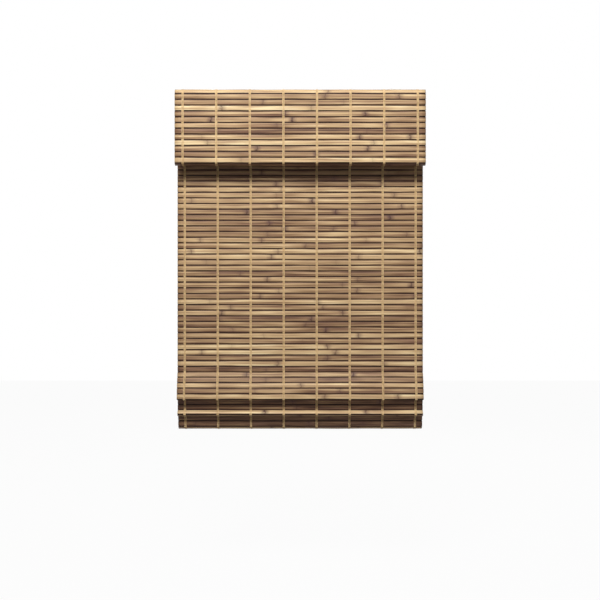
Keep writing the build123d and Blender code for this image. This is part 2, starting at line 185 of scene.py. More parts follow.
def set_down(name, built, *materials):
    """Puts what was built into the scene as one piece, with its materials."""
    mesh = bpy.data.meshes.new(name)
    built.to_mesh(mesh)
    built.free()
    for material in materials:
        mesh.materials.append(material)
    piece = bpy.data.objects.new(name, mesh)
    bpy.context.scene.collection.objects.link(piece)
    return piece


def bare_mat():
    """A mesh with room for each strip's own values, and no strip yet."""
    mat = bmesh.new()
    mat.loops.layers.uv.new("along_slat")
    mat.verts.layers.float.new("strip_tone")
    mat.verts.layers.float.new("strip_seed")
    return mat


def lay_reed(mat, above, below, width, chance, kind):
    """The reed of a gap, seated a little way into the slats above and below it."""
    across = below - above
    length = width - 2 * reed_end_inset
    reed = strip_blank(length, reed_thickness, across.length + 2 * reed_seat, reed_thickness / 3)
    heading = Vector((0, 0, -1)).angle(across) * (1 if across.y < 0 else -1) * 180 / pi
    add_strip(mat, reed, (above + below) / 2, heading, chance, reed_edge_wander, plain_tone, kind)
    bpy.data.meshes.remove(reed)


def bamboo_mat(name, lines, width, body, nodes, tones, materials):
    """A length of mat: slats with a dark reed between each two."""
    chance = random.Random(name)
    slat_blank = strip_blank(width, slat_thickness, slat_width, slat_edge_break)
    mat = bare_mat()
    for (start, end, heading), tone in zip(lines, tones):
        add_strip(mat, slat_blank, (start + end) / 2, heading, chance, slat_edge_wander, tone, 0)
    for above, below in zip(lines, lines[1:]):
        lay_reed(mat, above[1], below[0], width, chance, 1)
    bpy.data.meshes.remove(slat_blank)
    piece = set_down(name, mat, *materials)
    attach(piece, body)
    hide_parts(*nodes)


def linear(hex_colour):
    """An sRGB hex colour as linear RGBA."""
    channels = [int(hex_colour[i : i + 2], 16) / 255 for i in (1, 3, 5)]
    return [c / 12.92 if c <= 0.04045 else ((c + 0.055) / 1.055) ** 2.4 for c in channels] + [1]


def add(tree, kind, links=(), stops=(), **settings):
    """Adds a node with its settings, and links its inputs to nodes or sets them to values."""
    node = tree.nodes.new(kind)
    for name, value in settings.items():
        setattr(node, name, value)
    for number, (place, colour) in enumerate(stops):
        elements = node.color_ramp.elements
        element = elements[number] if number < 2 else elements.new(place)
        element.position = place
        element.color = linear(colour)
    for name, source in dict(links).items():
        if isinstance(source, bpy.types.Node):
            source = source.outputs[0]
        if isinstance(source, bpy.types.NodeSocket):
            tree.links.new(source, node.inputs[name])
        else:
            node.inputs[name].default_value = source
    return node


def new_material(name):
    """A material and its empty tree."""
    material = bpy.data.materials.new(name)
    material.use_nodes = True
    material.node_tree.nodes.clear()
    return material, material.node_tree


# Split bamboo, planed and stained light brown, then left satin. Long straw-coloured fibres run
# with the slat, its broken edges are darker, partly from stain and partly as painted shade from
# the gaps between slats, and each joint of the culm leaves a purple-brown bruise, often with a thin dark line
# in it.
fibre_patterns = {
    "patch": (0.11, 0.017, 1.0),
    "fibre": (0.20, 0.0030, 3.0),
    "streak": (0.30, 0.0016, 1.0),
    "fine": (0.04, 0.00055, 2.0),
    "blush": (0.07, 0.005, 1.0),
    "blotch": (0.012, 0.004, 2.0),
    "drift": (0.012, 0.006, 1.0),
    "break": (0.05, 0.003, 2.0),
}
joint_spacing = 0.27
joint_scatter = 0.6
joint_curve = 80.0
joint_drift = 0.008
joint_line = 0.0022
joint_bruise = 0.012
strip_shift = 0.377
edge_stain_and_shade_start = 0.0043
edge_stain_and_shade_end = 0.0052

bamboo_stained, tree = new_material("split_bamboo_stained")
uv = add(tree, "ShaderNodeUVMap", uv_map="along_slat")
tone = add(tree, "ShaderNodeAttribute", attribute_name="strip_tone").outputs["Fac"]
seed = add(tree, "ShaderNodeAttribute", attribute_name="strip_seed").outputs["Fac"]
seed = add(tree, "ShaderNodeMath", {0: seed}, operation="ROUND")
parts = add(tree, "ShaderNodeSeparateXYZ", {"Vector": uv})
along, across = parts.outputs["X"], parts.outputs["Y"]
seeded = add(tree, "ShaderNodeCombineXYZ", {"X": along, "Y": across, "Z": seed})
grain = {}
for kind, (length, pitch, detail) in fibre_patterns.items():
    place = add(tree, "ShaderNodeMapping", {"Vector": seeded, "Scale": (1 / length, 1 / pitch, 1)})
    grain[kind] = add(
        tree, "ShaderNodeTexNoise", {"Vector": place, "Scale": 1.0, "Detail": detail, "Roughness": 0.6}
    )
level = add(tree, "ShaderNodeMath", {0: grain["patch"], 1: 0.75, 2: tone}, operation="MULTIPLY_ADD")
level = add(tree, "ShaderNodeMath", {0: grain["fibre"], 1: 1.25, 2: level}, operation="MULTIPLY_ADD")
level = add(tree, "ShaderNodeMath", {0: grain["streak"], 1: 0.7, 2: level}, operation="MULTIPLY_ADD")
level = add(tree, "ShaderNodeMath", {0: level, 1: 1.36}, operation="SUBTRACT", use_clamp=True)
bamboo_tones = [
    (0.0, "#432c1f"),
    (0.22, "#6e4f3b"),
    (0.45, "#957756"),
    (0.68, "#b89972"),
    (0.88, "#d1b488"),
    (1.0, "#e3cca0"),
]
colour = add(tree, "ShaderNodeValToRGB", {"Fac": level}, stops=bamboo_tones)
blush = add(
    tree,
    "ShaderNodeMapRange",
    {"Value": grain["blush"], "From Min": 0.45, "From Max": 0.8, "To Max": 0.45},
)
colour = add(tree, "ShaderNodeMix", {0: blush, 6: colour, 7: linear("#92705e")}, data_type="RGBA").outputs[2]

# There is one joint in every spacing. It has draws of its own for its place in it, its curve
# across the slat and its strength.
whole = add(tree, "ShaderNodeMath", {0: along, 1: joint_spacing}, operation="DIVIDE")
whole = add(tree, "ShaderNodeMath", {0: seed, 1: strip_shift, 2: whole}, operation="MULTIPLY_ADD")
cell = add(tree, "ShaderNodeMath", {0: whole}, operation="FLOOR")
cell = add(tree, "ShaderNodeCombineXYZ", {"X": cell, "Y": seed})
draws = add(tree, "ShaderNodeTexWhiteNoise", {"Vector": cell}, noise_dimensions="2D").outputs["Color"]
draws = add(tree, "ShaderNodeSeparateColor", {"Color": draws})
curve = {"Value": draws.outputs["Green"], "To Min": -joint_curve, "To Max": joint_curve}
curve = add(tree, "ShaderNodeMapRange", curve)
strength = add(tree, "ShaderNodeMapRange", {"Value": draws.outputs["Blue"], "To Min": 0.1, "To Max": 1.0})
off = add(tree, "ShaderNodeMath", {0: whole}, operation="FRACT")
off = {0: draws.outputs["Red"], 1: -joint_scatter, 2: off}
off = add(tree, "ShaderNodeMath", off, operation="MULTIPLY_ADD")
off = add(tree, "ShaderNodeMath", {0: off, 1: (1 - joint_scatter) / 2}, operation="SUBTRACT")
off = add(tree, "ShaderNodeMath", {0: off, 1: joint_spacing}, operation="MULTIPLY")
square = add(tree, "ShaderNodeMath", {0: across, 1: across}, operation="MULTIPLY")
off = add(tree, "ShaderNodeMath", {0: square, 1: curve, 2: off}, operation="MULTIPLY_ADD")
off = add(tree, "ShaderNodeMath", {0: grain["drift"], 1: joint_drift, 2: off}, operation="MULTIPLY_ADD")
near = add(tree, "ShaderNodeMath", {0: off, 1: joint_drift / 2}, operation="SUBTRACT")
near = add(tree, "ShaderNodeMath", {0: near}, operation="ABSOLUTE")
bruise = add(
    tree, "ShaderNodeMapRange", {"Value": near, "From Max": joint_bruise, "To Min": 1.8, "To Max": 0.0}
)
bruise = add(tree, "ShaderNodeMath", {0: bruise, 1: grain["blotch"]}, operation="MULTIPLY", use_clamp=True)
bruise = add(tree, "ShaderNodeMath", {0: bruise, 1: strength}, operation="MULTIPLY")
colour = add(tree, "ShaderNodeMix", {0: bruise, 6: colour, 7: linear("#573c37")}, data_type="RGBA").outputs[2]
scar = add(tree, "ShaderNodeMapRange", {"Value": near, "From Max": joint_line, "To Min": 1.4, "To Max": 0.0})
scar = add(tree, "ShaderNodeMath", {0: scar, 1: grain["break"]}, operation="MULTIPLY", use_clamp=True)
scar = add(tree, "ShaderNodeMath", {0: scar, 1: strength}, operation="MULTIPLY")
colour = add(tree, "ShaderNodeMix", {0: scar, 6: colour, 7: linear("#3d2620")}, data_type="RGBA").outputs[2]

# Darker towards the broken edges: stain gathered there, and painted shade from the gap between slats
edge = add(tree, "ShaderNodeMath", {0: across}, operation="ABSOLUTE")
edge = {"Value": edge, "From Min": edge_stain_and_shade_start, "From Max": edge_stain_and_shade_end, "To Max": 0.9}
edge = add(tree, "ShaderNodeMapRange", edge)
colour = add(tree, "ShaderNodeMix", {0: edge, 6: colour, 7: linear("#3e2316")}, data_type="RGBA").outputs[2]
relief = add(tree, "ShaderNodeMath", {0: scar, 1: -1.8, 2: grain["fine"]}, operation="MULTIPLY_ADD")
bump = add(tree, "ShaderNodeBump", {"Height": relief, "Strength": 0.3, "Distance": 0.0003})
rough = add(tree, "ShaderNodeMapRange", {"Value": grain["fibre"], "To Min": 0.46, "To Max": 0.68})
shader = add(
    tree,
    "ShaderNodeBsdfPrincipled",
    {"Base Color": colour, "Roughness": rough, "Normal": bump, "Specular IOR Level": 0.25},
)
add(tree, "ShaderNodeOutputMaterial", {"Surface": shader})

# The reeds are thin bamboo splints, steeped in a much darker stain and left dull. Each is woven
# in between two slats, and closes the gap to daylight.
reed_stained, tree = new_material("bamboo_reed_dark_stained")
uv = add(tree, "ShaderNodeUVMap", uv_map="along_slat")
place = add(tree, "ShaderNodeMapping", {"Vector": uv, "Scale": (22.0, 900.0, 1.0)})
noise = add(tree, "ShaderNodeTexNoise", {"Vector": place, "Scale": 1.0, "Detail": 3.0})
reed_tones = [(0.25, "#170b05"), (0.5, "#26140a"), (0.75, "#3f2715")]
colour = add(tree, "ShaderNodeValToRGB", {"Fac": noise}, stops=reed_tones)
shader = add(
    tree, "ShaderNodeBsdfPrincipled", {"Base Color": colour, "Roughness": 0.7, "Specular IOR Level": 0.2}
)
add(tree, "ShaderNodeOutputMaterial", {"Surface": shader})
bamboo = [bamboo_stained, reed_stained]


def slat_tones(name, count, chosen=()):
    """A tone for each slat: most are honey, and the chosen ones are dark or pale."""
    chance = random.Random(name)
    tones = [min(max(chance.gauss(0.60, 0.10), 0.40), 0.80) for _ in range(count)]
    for number, tone in dict(chosen).items():
        tones[number] = tone
    return tones


# The valance: fourteen slats, the first leaning back over the headrail and the last turned
# under behind the rest. Its warp threads hold it to the hook tape on the front batten.
valance_lean = 35
valance_hem_heading = -72
valance_slats = 12
valance_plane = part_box("valance_tape")[0].y - slat_thickness / 2
valance_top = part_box("valance_mat")[1].z
lean = radians(valance_lean)
valance_start = Vector(
    (
        0,
        valance_plane + slat_width * sin(lean) + valance_gap * sin(lean / 2),
        valance_top - slat_thickness / 2 * sin(lean),
    )
)
valance_headings = [valance_lean] + [0] * valance_slats + [valance_hem_heading]
valance_lines = lay_slats(valance_start, valance_headings, valance_gap)
# The turned-under last slat is darkened to 0.15 as painted shade; the pale ones are their own tone.
tones = slat_tones("valance", len(valance_lines), {0: 0.8, 3: 0.84, 7: 0.3, 9: 0.84, 12: 0.8, 13: 0.15})
bamboo_mat("valance_slats", valance_lines, valance_width, "headrail", ["valance_mat"], tones, bamboo)


# The flat mat: a head of fifteen slats that stays behind the valance, then eight panels of
# four, which the warp threads let fold forward and back when the shade is raised.
def flat_lines(node, count):
    """Slats of a flat stretch, set from the lower edge of its last one."""
    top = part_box(node)[0].z + count * (slat_width + slat_gap) - slat_gap
    return lay_slats(Vector((0, mat_plane, top)), [0] * count, slat_gap)


head_slats = 15
panel_slats = 4
head_lines = flat_lines("mat_head", head_slats)
# Slats 9 to 13 are darkened as painted shade: the valance's shadow on the mat, fading out at slat 13.
tones = slat_tones("head", head_slats, {9: 0.35, 10: 0.3, 11: 0.36, 12: 0.3, 13: 0.5})
bamboo_mat("head_slats", head_lines, shade_width, "headrail", ["mat_head"], tones, bamboo)
panel_lines = {}
chosen_tones = {
    "fold_1_lower": {0: 0.42, 3: 0.5},
    "fold_2_lower": {2: 0.4},
    "fold_3_upper": {2: 0.42, 3: 0.74},
    "fold_3_lower": {0: 0.5, 1: 0.7, 2: 0.33, 3: 0.42},
    "fold_4_upper": {1: 0.72, 2: 0.42, 3: 0.82},
    "fold_4_lower": {0: 0.8, 1: 0.42, 3: 0.25},
}
for fold in range(1, 5):
    for half in ("upper", "lower"):
        panel = f"fold_{fold}_{half}"
        panel_lines[panel] = flat_lines(f"mat_{panel}", panel_slats)
        tones = slat_tones(panel, panel_slats, chosen_tones.get(panel, {}))
        bamboo_mat(f"{panel}_slats", panel_lines[panel], shade_width, panel, [f"mat_{panel}"], tones, bamboo)

# The foot: two folds already gathered, and the hem with its bar. The slats go down the front
# of each loop and up behind it to the next row of rings.
ring_bend_gap = 0.0038
front_loop_headings = (26, 22, 16, 9, 4, -88, -176, -180)
back_loop_headings = (-4, -4, -2, 0, 46, -72, -184, -186)
hem_headings = (-7, -8, -6, -4, -60, -178, -180, -180)
gathered_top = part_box("mat_fold_4_lower")[0].z - slat_gap / 2
gathered_lines = lay_slats(
    Vector((0, mat_plane, gathered_top)) + heading_step(front_loop_headings[0], slat_gap / 2),
    front_loop_headings + back_loop_headings + hem_headings,
    slat_gap,
    ring_bend_gap,
    (len(front_loop_headings), len(front_loop_headings) + len(back_loop_headings)),
)
front_leg_tones = {1: 0.42, 2: 0.72, 3: 0.45, 4: 0.75}
# Painted shade: the slats behind and under the gathered folds are darkened. Painted highlight: the
# forward-kicking slat 12 is lightened.
painted_shade_and_highlight_tones = {9: 0.26, 10: 0.2, 11: 0.2, 12: 0.8, 15: 0.26, 17: 0.22, 18: 0.18, 19: 0.18}
tones = slat_tones("gathered", len(gathered_lines), {**front_leg_tones, **painted_shade_and_highlight_tones})
bamboo_mat("gathered_slats", gathered_lines, shade_width, "foot", ["mat_gathered_folds"], tones, bamboo)

# The warp threads: soft spun cotton, chain stitched in pairs over the face of every slat, with
# a stitch across each gap and a single locking thread down the back.
thread_lines = 8
thread_spacing = 0.0781
thread_columns = [(number - (thread_lines - 1) / 2) * thread_spacing for number in range(thread_lines)]
thread_radius = 0.00095
thread_lift = 0.00030
pair_spread = 0.0015
pair_pinch = 0.0011
stitch_reach = 0.0026
back_sway = 0.0006
edge_spread = 0.35
edge_lift = 0.8
gap_lift = 0.7
stitch_lift = 0.75

cotton, tree = new_material("spun_cotton")
place = add(tree, "ShaderNodeTexCoord").outputs["Object"]
noise = add(tree, "ShaderNodeTexNoise", {"Vector": place, "Scale": 160.0, "Detail": 2.0})
cotton_tones = [(0.3, "#b8996b"), (0.5, "#ccad7e"), (0.7, "#dec292")]
colour = add(tree, "ShaderNodeValToRGB", {"Fac": noise}, stops=cotton_tones)
plies = add(tree, "ShaderNodeMapping", {"Vector": place, "Rotation": (0, radians(35), 0)})
plies = add(tree, "ShaderNodeTexWave", {"Vector": plies, "Scale": 260.0, "Distortion": 1.5})
bump = add(tree, "ShaderNodeBump", {"Height": plies, "Strength": 0.4, "Distance": 0.0002})
shader = add(
    tree,
    "ShaderNodeBsdfPrincipled",
    {"Base Color": colour, "Roughness": 0.9, "Specular IOR Level": 0.2, "Sheen Weight": 0.15, "Normal": bump},
)
add(tree, "ShaderNodeOutputMaterial", {"Surface": shader})


def strand_path(lines, side):
    """Points of one strand over a run of slats, and the places in the gaps where it is stitched."""
    points, stitches = [], []
    for number, (start, end, heading) in enumerate(lines):
        out = heading_step(heading - 90, 1) * -1 * side
        surface = slat_thickness / 2 + thread_lift
        edge, middle = (edge_spread, edge_lift), (0.9, 1.0)
        for share, (spread, lift) in ((0.0, edge), (0.3, middle), (0.7, middle), (1.0, edge)):
            points.append((start.lerp(end, share) + out * surface * lift, spread))
        if number + 1 < len(lines):
            gap = (end + lines[number + 1][0]) / 2
            following = heading_step(lines[number + 1][2] - 90, 1) * -1 * side
            outward = (out + following).normalized()
            points.append((gap + outward * surface * gap_lift, 1.0))
            stitches.append(gap + outward * surface * stitch_lift)
    return points, stitches


def lay_thread(curve, points):
    """One thread through the points."""
    spline = curve.splines.new("NURBS")
    spline.points.add(len(points) - 1)
    for point, place in zip(spline.points, points):
        point.co = (*place, 1)
    spline.order_u = 3
    spline.use_endpoint_u = True


def drawn_thread(name, lay, radius, material):
    """Round thread, drawn along whatever lay puts into an empty curve, as one mesh."""
    curve = bpy.data.curves.new(name, "CURVE")
    curve.dimensions = "3D"
    curve.bevel_depth = radius
    curve.bevel_resolution = 1
    curve.resolution_u = 3
    curve.use_fill_caps = True
    lay(curve)
    drawn = bpy.data.objects.new(name, curve)
    mesh = bpy.data.meshes.new_from_object(drawn)
    bpy.data.objects.remove(drawn)
    bpy.data.curves.remove(curve)
    mesh.materials.clear()
    mesh.materials.append(material)
    piece = bpy.data.objects.new(name, mesh)
    bpy.context.scene.collection.objects.link(piece)
    return piece


def warp_threads(name, face_runs, back_runs, body, nodes):
    """All the threads of one stretch of mat: pairs and stitches on its face, single ones behind."""

    def lay(curve):
        for x in thread_columns:
            for run in face_runs:
                points, stitches = strand_path(run, 1)
                for hand in (-1, 1):
                    reach = [hand * (pair_pinch + (pair_spread - pair_pinch) * share) for _, share in points]
                    lay_thread(curve, [(x + r, p.y, p.z) for r, (p, _) in zip(reach, points)])
                for p in stitches:
                    lay_thread(curve, [(x + reach, p.y, p.z) for reach in (-stitch_reach, 0, stitch_reach)])
            for run in back_runs:
                points, _ = strand_path(run, -1)
                lay_thread(curve, [(x + back_sway * (share - 0.5), p.y, p.z) for p, share in points])

    threads = drawn_thread(name, lay, thread_radius, cotton)
    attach(threads, body)
    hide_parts(*nodes)


warp_threads("valance_stitching", [valance_lines], [valance_lines[3:-1]], "headrail", ["valance_threads"])
warp_threads("head_stitching", [head_lines[1:]], [head_lines], "headrail", ["mat_head_threads"])
for panel, lines in panel_lines.items():
    warp_threads(f"{panel}_stitching", [lines], [lines], panel, [f"mat_{panel}_threads"])

# Of the gathered mat's back, only the legs that hang down from a ring line can be seen
hanging_legs = [gathered_lines[0:5], gathered_lines[8:13], gathered_lines[16:20]]
warp_threads("gathered_stitching", [gathered_lines], hanging_legs, "foot", ["mat_gathered_threads"])

# At each fold line the mat bends in the gap between two slats. The reed of that gap and the
# threads across it are the mat's own bamboo and cotton, and bend between its two lengths.
link_cuts = (0.15, 0.35, 0.5, 0.65, 0.85)
link_places = (0, 0.25, 0.5, 0.75, 1)
link_overlap = 0.0012
link_reach = 0.1
link_stitch_lift = 0.94


def fold_link(name, above, below, body_above, body_below):
    """The reed and threads across one fold line, from the slat above it to the slat below."""
    upper_edge, upper_heading = above[1:]
    lower_edge, lower_heading = below[0], below[2]
    across = lower_edge - upper_edge
    bend = {"start": tuple(upper_edge - across * link_reach), "end": tuple(lower_edge + across * link_reach)}
    link = bare_mat()
    lay_reed(link, upper_edge, lower_edge, shade_width, random.Random(name), 0)
    for share in link_cuts:
        everything = link.verts[:] + link.edges[:] + link.faces[:]
        place = upper_edge.lerp(lower_edge, share)
        bmesh.ops.bisect_plane(link, geom=everything, plane_co=place, plane_no=across)
    reed = set_down(name, link, reed_stained)
    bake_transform(reed, body_above, body_below, **bend)

    def lay(curve):
        surface = (slat_thickness / 2 + thread_lift) * edge_lift
        top = upper_edge - heading_step(upper_heading, link_overlap)
        bottom = lower_edge + heading_step(lower_heading, link_overlap)
        places = [top] + [upper_edge.lerp(lower_edge, share) for share in link_places] + [bottom]
        gap = (upper_edge + lower_edge) / 2
        pair = pair_pinch + (pair_spread - pair_pinch) * edge_spread
        behind = back_sway * (edge_spread - 0.5)
        for x in thread_columns:
            for sideways, out in ((-pair, -surface), (pair, -surface), (behind, surface)):
                lay_thread(curve, [(x + sideways, p.y + out, p.z) for p in places])
            stitch = (-stitch_reach, 0, stitch_reach)
            lay_thread(curve, [(x + reach, gap.y - surface * link_stitch_lift, gap.z) for reach in stitch])

    threads = drawn_thread(f"{name}_threads", lay, thread_radius, cotton)
    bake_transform(threads, body_above, body_below, **bend)


stretches = [("headrail", head_lines), *panel_lines.items(), ("foot", gathered_lines)]
for number, ((body_above, above), (body_below, below)) in enumerate(zip(stretches, stretches[1:]), 1):
    fold_link(f"fold_line_{number}", above[-1], below[0], body_above, body_below)


# The hardware in and behind the head of the shade is stock: pressed steel, mouldings, planed
# pine and tape. Each piece keeps its own solid and gets the finish that its making leaves.
def dress(finish, *nodes):
    """Gives CAD pieces their finish."""
    for node in nodes:
        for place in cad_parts[node].material_slots:
            place.material = finish


def made_finish(name, dark, pale, patch, grain, rough, relief, edge, **shading):
    """A surface of two close tones in slow patches, with a fine grain and softly broken edges.

    The sizes of its patches and grain, the depth of its relief and the break of its edges are metres.
    """
    material, tree = new_material(name)
    place = add(tree, "ShaderNodeTexCoord").outputs["Object"]
    slow = add(tree, "ShaderNodeMapping", {"Vector": place, "Scale": [1 / size for size in patch]})
    slow = add(tree, "ShaderNodeTexNoise", {"Vector": slow, "Scale": 1.0, "Detail": 3.0})
    colour = add(tree, "ShaderNodeValToRGB", {"Fac": slow}, stops=[(0.35, dark), (0.65, pale)])
    fine = add(tree, "ShaderNodeMapping", {"Vector": place, "Scale": [1 / size for size in grain]})
    fine = add(tree, "ShaderNodeTexNoise", {"Vector": fine, "Scale": 1.0, "Detail": 2.0})
    gloss = add(tree, "ShaderNodeMapRange", {"Value": fine, "To Min": rough[0], "To Max": rough[1]})
    broken = add(tree, "ShaderNodeBevel", {"Radius": edge}, samples=4)
    bump = {"Height": fine, "Distance": relief, "Strength": 0.6, "Normal": broken}
    bump = add(tree, "ShaderNodeBump", bump)
    sockets = {"Base Color": colour, "Roughness": gloss, "Normal": bump}
    sockets.update({socket.replace("_", " "): value for socket, value in shading.items()})
    shader = add(tree, "ShaderNodeBsdfPrincipled", sockets)
    add(tree, "ShaderNodeOutputMaterial", {"Surface": shader})
    return material


# Headrail: steel strip, roll formed to a channel that is open below. Its off-white powder coat
# has an orange peel of about 1 mm.
powder_coat = made_finish(
    "steel_powder_coated",
    dark="#dcd8cc",
    pale="#e3dfd4",
    patch=(0.09,) * 3,
    grain=(0.0010,) * 3,
    rough=(0.36, 0.50),
    relief=0.00004,
    edge=0.0006,
)
dress(powder_coat, "headrail_channel")

# Brackets: pressed steel angles, dipped and baked white, a little glossier than the rail. They
# are screwed to the window head, and to the back of the rail.
baked_paint = made_finish(
    "steel_baked_paint",
    dark="#dfddd5",
    pale="#e6e4dd",
    patch=(0.03,) * 3,
    grain=(0.0018,) * 3,
    rough=(0.26, 0.38),
    relief=0.00002,
    edge=0.0004,
)
dress(baked_paint, "mounting_bracket_left", "mounting_bracket_right")

# Screws: cold headed steel, zinc plated, with the slight straw tint of the passivate. They hold
# the brackets, the battens and the motor's lid.
zinc_plate = made_finish(
    "steel_zinc_plated",
    dark="#a5a49c",
    pale="#bfbeb3",
    patch=(0.003,) * 3,
    grain=(0.0004,) * 3,
    rough=(0.24, 0.42),
    relief=0.00002,
    edge=0.0005,
    Metallic=1.0,
)
dress(zinc_plate, "bracket_screws", "valance_batten_screws", "mat_batten_screws", "motor_screws")

# End caps, cradles and spools: moulded acetal, milky and waxy to the touch. The caps push into
# the rail's ends, and the spools turn in their cradles on the lift shaft.
acetal = made_finish(
    "acetal_moulded_white",
    dark="#dad7cc",
    pale="#e2e0d7",
    patch=(0.03,) * 3,
    grain=(0.0007,) * 3,
    rough=(0.32, 0.44),
    relief=0.00002,
    edge=0.0004,
    Subsurface_Weight=0.1,
    Subsurface_Scale=0.002,
)
dress(acetal, "end_cap_left", "end_cap_right", "spool_cradle_left", "spool_cradle_right")
dress(acetal, "cord_spool_left", "cord_spool_right")

# Motor: two grey acetal shells screwed together, with two geared drums in them, all from tools
# with a fine spark-eroded texture.
grey_acetal = made_finish(
    "acetal_moulded_grey",
    dark="#c0c0bb",
    pale="#cbcbc6",
    patch=(0.03,) * 3,
    grain=(0.0005,) * 3,
    rough=(0.46, 0.62),
    relief=0.00005,
    edge=0.0003,
)
dress(grey_acetal, "motor_tray", "motor_lid", "output_drum", "storage_drum")

# Motor spring: blued steel strip, wound tight on the storage drum. Its turns show as fine lines
# round the roll.
blued_strip = made_finish(
    "spring_strip_blued",
    dark="#565c68",
    pale="#79797a",
    patch=(0.06, 0.004, 0.004),
    grain=(0.08, 0.0004, 0.0004),
    rough=(0.26, 0.40),
    relief=0.00005,
    edge=0.0002,
    Metallic=1.0,
)
dress(blued_strip, "flat_spring")

# Lift shaft: bright drawn square bar, with the die's lines running along it. The spools and the
# output drum sit on it.
drawn_bar = made_finish(
    "steel_drawn_bright",
    dark="#9d9d9a",
    pale="#b4b4b1",
    patch=(0.20, 0.004, 0.004),
    grain=(0.15, 0.0003, 0.0003),
    rough=(0.26, 0.40),
    relief=0.00002,
    edge=0.0003,
    Metallic=1.0,
)
dress(drawn_bar, "lift_shaft")

# Battens and hem bar: planed pine, unfinished. Growth rings of about 2.5 mm run the length of
# each bar, and fine resin lines follow them.
growth_ring = 0.0025
waves_per_radian = 0.314
pine, tree = new_material("pine_planed")
place = add(tree, "ShaderNodeTexCoord").outputs["Object"]
heart = {"Vector": place, "Location": (0, 0.055, 0.075), "Scale": (0.06, 1, 1)}
heart = add(tree, "ShaderNodeMapping", heart)
wave_scale = waves_per_radian / growth_ring
rings = add(
    tree,
    "ShaderNodeTexWave",
    {"Vector": heart, "Scale": wave_scale, "Distortion": 3.0, "Detail": 2.0, "Detail Scale": 0.4},
    wave_type="RINGS",
    rings_direction="X",
    wave_profile="SAW",
)
pine_tones = [(0.0, "#d9bb87"), (0.6, "#cfac74"), (0.92, "#b98d55"), (1.0, "#d6b67f")]
colour = add(tree, "ShaderNodeValToRGB", {"Fac": rings}, stops=pine_tones)
pores = add(tree, "ShaderNodeMapping", {"Vector": place, "Scale": (30.0, 1800.0, 1800.0)})
pores = add(tree, "ShaderNodeTexNoise", {"Vector": pores, "Scale": 1.0, "Detail": 3.0})
broken = add(tree, "ShaderNodeBevel", {"Radius": 0.0005}, samples=4)
bump = add(tree, "ShaderNodeBump", {"Height": pores, "Distance": 0.00008, "Strength": 0.6, "Normal": broken})
rough = add(tree, "ShaderNodeMapRange", {"Value": pores, "To Min": 0.55, "To Max": 0.75})
shader = add(tree, "ShaderNodeBsdfPrincipled", {"Base Color": colour, "Roughness": rough, "Normal": bump})
add(tree, "ShaderNodeOutputMaterial", {"Surface": shader})
dress(pine, "valance_batten", "mat_batten", "hem_bar")

# Hook tape: woven polyester that both mats are pressed on to. Its hooks stand 1.2 mm apart.
hook_pitch = 0.0012
hook_tape, tree = new_material("polyester_hook_tape")
place = add(tree, "ShaderNodeTexCoord").outputs["Object"]
hooks = add(tree, "ShaderNodeTexVoronoi", {"Vector": place, "Scale": 1 / hook_pitch, "Randomness": 0.35})
colour = add(tree, "ShaderNodeValToRGB", {"Fac": hooks}, stops=[(0.1, "#dbd5c6"), (0.6, "#b0a998")])
bump = add(tree, "ShaderNodeBump", {"Height": hooks, "Distance": 0.0005, "Strength": 0.8}, invert=True)
shader = add(
    tree,
    "ShaderNodeBsdfPrincipled",
    {"Base Color": colour, "Roughness": 0.85, "Normal": bump, "Sheen Weight": 0.3},
)
add(tree, "ShaderNodeOutputMaterial", {"Surface": shader})
dress(hook_tape, "valance_tape", "mat_tape")

# Lift cords: polyester cord of 1.4 mm, three strands laid together. Each runs down behind the
# mat through its rings, on the second thread line from the edge, and shortens as it is wound in.
cord_x = thread_columns[-2]
cord_strand_radius = 0.00036
cord_lay = 0.0075
cord_step = 0.00125
cord_end_knot = 0.0016

cord_polyester, tree = new_material("polyester_cord")
place = add(tree, "ShaderNodeTexCoord").outputs["Object"]
noise = add(tree, "ShaderNodeTexNoise", {"Vector": place, "Scale": 900.0, "Detail": 2.0})
colour = add(tree, "ShaderNodeValToRGB", {"Fac": noise}, stops=[(0.35, "#cbc2ab"), (0.65, "#dad2be")])
bump = add(tree, "ShaderNodeBump", {"Height": noise, "Distance": 0.0002, "Strength": 0.5})
shader = add(
    tree,
    "ShaderNodeBsdfPrincipled",
    {"Base Color": colour, "Roughness": 0.7, "Normal": bump, "Sheen Weight": 0.2},
)
add(tree, "ShaderNodeOutputMaterial", {"Surface": shader})


def spline_places(route):
    """Places closely along the route's own spline, in order."""
    curve = bpy.data.curves.new("route", "CURVE")
    curve.dimensions = "3D"
    curve.resolution_u = round(sum((b - a).length for a, b in zip(route, route[1:])) / cord_step)
    lay_thread(curve, route)
    line = bpy.data.objects.new("route", curve)
    mesh = bpy.data.meshes.new_from_object(line)
    places = [vert.co.copy() for vert in mesh.vertices]
    bpy.data.meshes.remove(mesh)
    bpy.data.objects.remove(line)
    bpy.data.curves.remove(curve)
    return places


def laid_cord(name, route, body, node):
    """Three strands laid together round a route that runs down the back of the mat."""

    def lay(curve):
        places = spline_places(route)
        for strand in range(3):
            points, turn = [], strand * 2 * pi / 3
            for place, following in zip(places, places[1:] + [places[-1] * 2 - places[-2]]):
                step = following - place
                side = Vector((1, 0, 0))
                behind = step.normalized().cross(side)
                points.append(place + (side * cos(turn) + behind * sin(turn)) * cord_strand_radius)
                turn += 2 * pi * step.length / cord_lay
            lay_thread(curve, points)

    cord = drawn_thread(name, lay, cord_strand_radius, cord_polyester)
    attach(cord, body)
    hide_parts(node)
    return cord


# Rings: nylon, moulded round and nearly clear, each held to the mat's back by a cotton loop on
# its ring line.
ring_radius = 0.0042
ring_wire = 0.0008
ring_clearance = 0.0007
loop_radius = 0.0013
loop_thread_radius = 0.0003
nylon = made_finish(
    "nylon_moulded_clear",
    dark="#d6cfbc",
    pale="#dfd9c8",
    patch=(0.004,) * 3,
    grain=(0.0006,) * 3,
    rough=(0.22, 0.34),
    relief=0.00002,
    edge=0.0002,
    Transmission_Weight=0.25,
    IOR=1.53,
)


